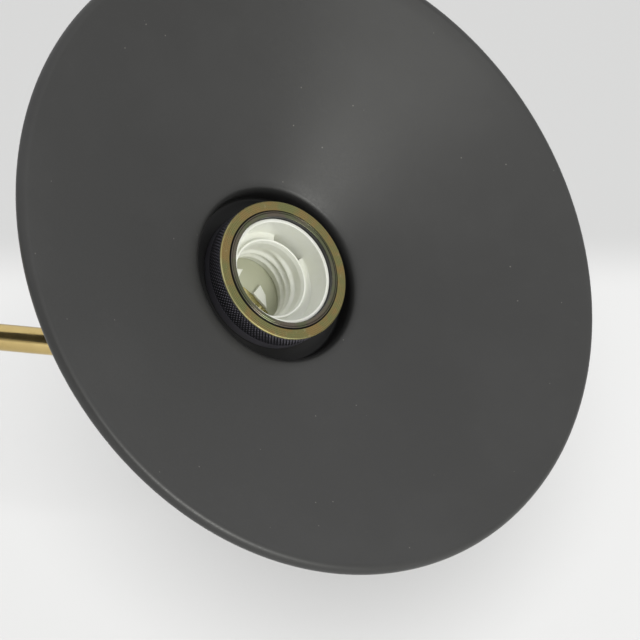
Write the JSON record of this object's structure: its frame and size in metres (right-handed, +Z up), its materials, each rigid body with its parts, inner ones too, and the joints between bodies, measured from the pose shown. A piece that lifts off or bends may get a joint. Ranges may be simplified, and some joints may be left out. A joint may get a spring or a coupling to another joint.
{
  "type": "wall sconce",
  "caption": "Wall lamp on a hinged brass arm, with a wide shallow dark metal shade, a screw lampholder held by a knurled ring, a round wall cover and a toggle switch.",
  "frame": {"origin": "centre of the wall bracket's back face, where it lies on the wall", "axes": "+Z up, +Y into the wall, the arm reaches towards -Y at rest"},
  "size_m": [0.2175, 0.5164, 0.1806],
  "materials": {
    "satin_brass": "satin, lightly aged",
    "shade_paint": "matte dark grey powder coat",
    "husk_enamel": "gloss black enamel",
    "ring_black": "blackened knurl with an aged brass face",
    "lampholder_metal": "polished, yellow-grey plating",
    "white_ceramic": "white glaze",
    "contact_brass": "spring brass",
    "plated_steel": "zinc plated",
    "switch_metal": "polished",
    "black_moulding": "moulded, fine grain",
    "terminal_moulding": "moulded, natural",
    "nylon": "natural nylon"
  },
  "bodies": {
    "wall": {"wall_bracket": "plated_steel", "bracket_lock_washer": "plated_steel", "bracket_nut": "plated_steel", "wall_nipple": "satin_brass", "canopy": "satin_brass", "canopy_screws": "satin_brass", "earth_screw": "plated_steel", "terminal_block": "terminal_moulding", "terminal_screws": "plated_steel", "switch_body": "black_moulding", "switch_nut": "plated_steel", "wall_post": "satin_brass", "swing_screw": "satin_brass", "swing_cap_nut": "satin_brass", "swing_washers": "nylon"},
    "toggle": {"switch_lever": "switch_metal"},
    "link": {"swing_link": "satin_brass", "lift_screw": "satin_brass", "lift_cap_nut": "satin_brass", "lift_washers": "nylon"},
    "arm": {"arm_root": "satin_brass", "arm_tube": "satin_brass", "swivel_bush": "satin_brass", "swivel_setscrew": "plated_steel"},
    "swivel": {"swivel_fork": "satin_brass", "swivel_washer": "nylon", "tilt_screw": "satin_brass", "tilt_cap_nut": "satin_brass", "tilt_washers": "nylon"},
    "head": {"head_knuckle": "satin_brass", "husk": "husk_enamel", "head_nipple": "satin_brass", "husk_lock_washer": "plated_steel", "husk_nut": "plated_steel", "lampholder_shell": "lampholder_metal", "socket_insert": "white_ceramic", "centre_contact": "contact_brass", "side_contact": "contact_brass", "contact_screws": "plated_steel", "retaining_ring": "ring_black", "shade": "shade_paint"}
  },
  "joints": [
    {"name": "arm_swing", "type": "hinge", "parent": "wall", "child": "link", "pos_m": [0, -0.044, 0], "axis": [0, 0, 1], "range_deg": [-75, 75]},
    {"name": "arm_lift", "type": "hinge", "parent": "link", "child": "arm", "pos_m": [0, -0.074, 0], "axis": [-1, 0, 0], "range_deg": [-30, 70]},
    {"name": "head_swivel", "type": "hinge", "parent": "arm", "child": "swivel", "pos_m": [0, -0.35959, -0.05036], "axis": [0, -0.9848, -0.1736], "range_deg": [-193.25, 106.75]},
    {"name": "head_tilt", "type": "hinge", "parent": "swivel", "child": "head", "pos_m": [0, -0.35959, -0.05036], "axis": [-0.7284, 0.119, -0.6748], "range_deg": [-161.5, 18.5]},
    {"name": "switch_toggle", "type": "hinge", "parent": "wall", "child": "toggle", "pos_m": [0, -0.0245, -0.03], "axis": [-1, 0, 0], "range_deg": [0, 26]}
  ]
}
